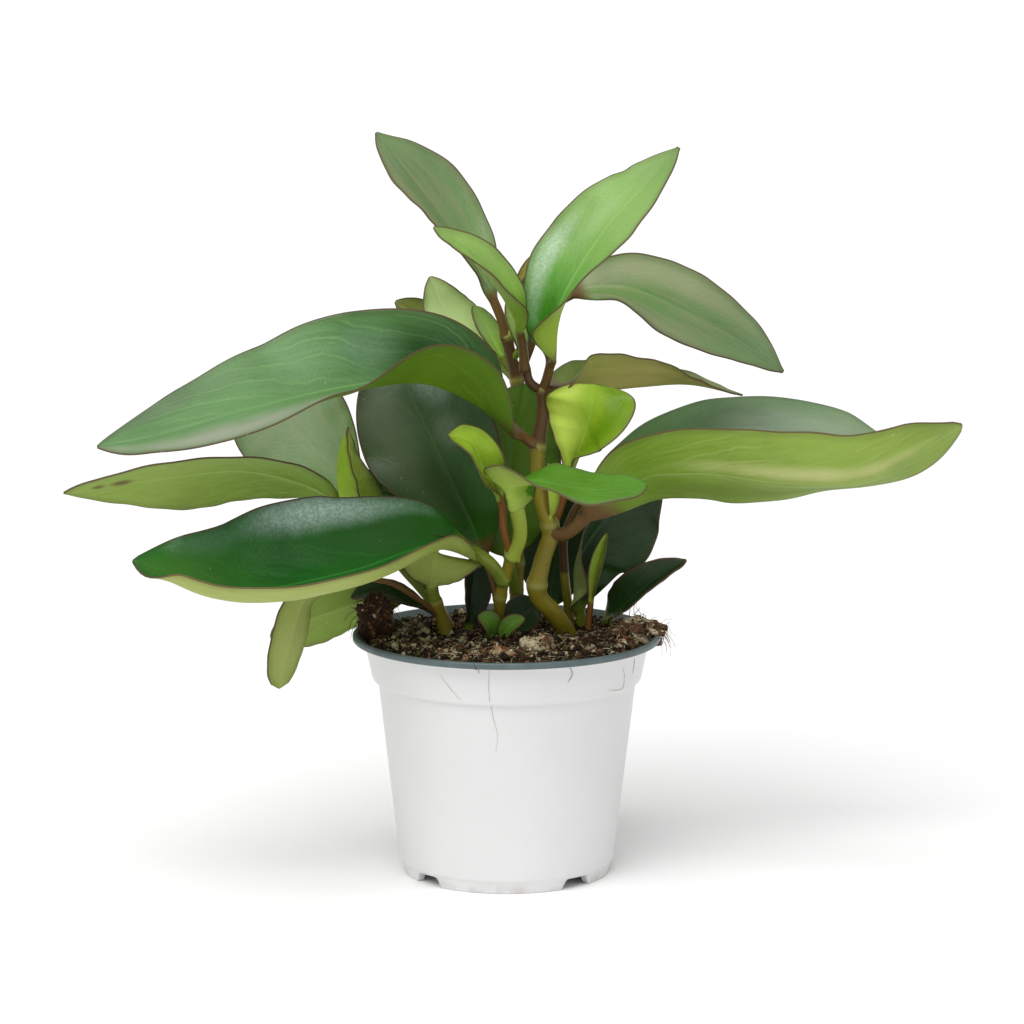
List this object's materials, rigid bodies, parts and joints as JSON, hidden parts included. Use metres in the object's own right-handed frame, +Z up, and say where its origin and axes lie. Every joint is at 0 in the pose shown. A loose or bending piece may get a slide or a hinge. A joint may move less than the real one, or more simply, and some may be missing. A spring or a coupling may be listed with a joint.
{
  "type": "potted peperomia",
  "caption": "Bushy peperomia with thick, pointed oval leaves on jointed stems, rooted in peat in a round white plastic nursery pot with a grey lip and a notched foot.",
  "frame": {"origin": "on the floor plane, in the middle of the plant's bounding box, which is within 2 mm of the axis of the pot's foot ring", "axes": "+Z up along the pot's axis, +X to the right as seen in the picture, along the leaves' widest reach, -Y towards the camera"},
  "size_m": [0.3405, 0.1625, 0.2863],
  "materials": {
    "pot": "thin moulded white plastic, satin, with a grey lip and inside",
    "soil": "damp dark peat with pale fibres and granules",
    "clump": "fibrous brown peat and root clumps",
    "stem": "smooth fleshy green and reddish brown, satin",
    "leaf_dark": "deep green, waxy and glossy above, pale and matte below, thin red-brown edge",
    "leaf_bright": "mid green with faint pale side veins, semi-gloss, thin red-brown edge",
    "leaf_grey": "grey-green with pale stripes, satin, thin red-brown edge",
    "leaf_young": "yellow-green young leaf, semi-gloss, thin red-brown edge"
  },
  "bodies": {
    "root": {"pot": "pot", "soil": "soil", "clump_left": "clump", "clump_right": "clump", "chunk_front": "clump", "chunk_reddish": "clump", "chunk_left": "clump", "chunk_right": "clump", "stem_front": "stem", "stem_front_fork": "stem", "stem_rear": "stem", "stem_short": "stem", "stem_left": "stem", "stem_left_rear": "stem", "stem_right": "stem", "leaf_top_left": "leaf_grey", "leaf_top_front": "leaf_young", "leaf_top_right": "leaf_bright", "leaf_top_bud": "leaf_bright", "leaf_top_yellow": "leaf_young", "leaf_top_inner": "leaf_dark", "leaf_right_upper": "leaf_grey", "leaf_right_middle": "leaf_grey", "leaf_rear_pale": "leaf_young", "leaf_rear_yellow": "leaf_young", "leaf_rear_grey": "leaf_grey", "leaf_left_large": "leaf_bright", "leaf_left_middle": "leaf_bright", "leaf_left_low": "leaf_dark", "leaf_left_grey": "leaf_grey", "leaf_left_dark": "leaf_dark", "leaf_left_folded": "leaf_dark", "leaf_left_small": "leaf_bright", "leaf_centre_dark": "leaf_dark", "leaf_wavy": "leaf_young", "leaf_oval_front": "leaf_bright", "leaf_young_folded": "leaf_young", "leaf_right_front": "leaf_bright", "leaf_right_rear": "leaf_dark", "leaf_right_folded": "leaf_dark", "leaf_right_low": "leaf_dark", "leaf_pot_left": "leaf_bright", "leaf_pot_right": "leaf_bright", "leaf_stem_left": "leaf_bright", "leaf_hanging": "leaf_bright", "leaf_hanging_rear": "leaf_bright", "leaf_low_dark": "leaf_dark", "leaf_low_rear": "leaf_dark", "leaf_rear_dark": "leaf_dark", "leaf_soil_folded": "leaf_dark", "leaf_young_narrow": "leaf_young", "leaf_right_young": "leaf_young"}
  },
  "joints": []
}
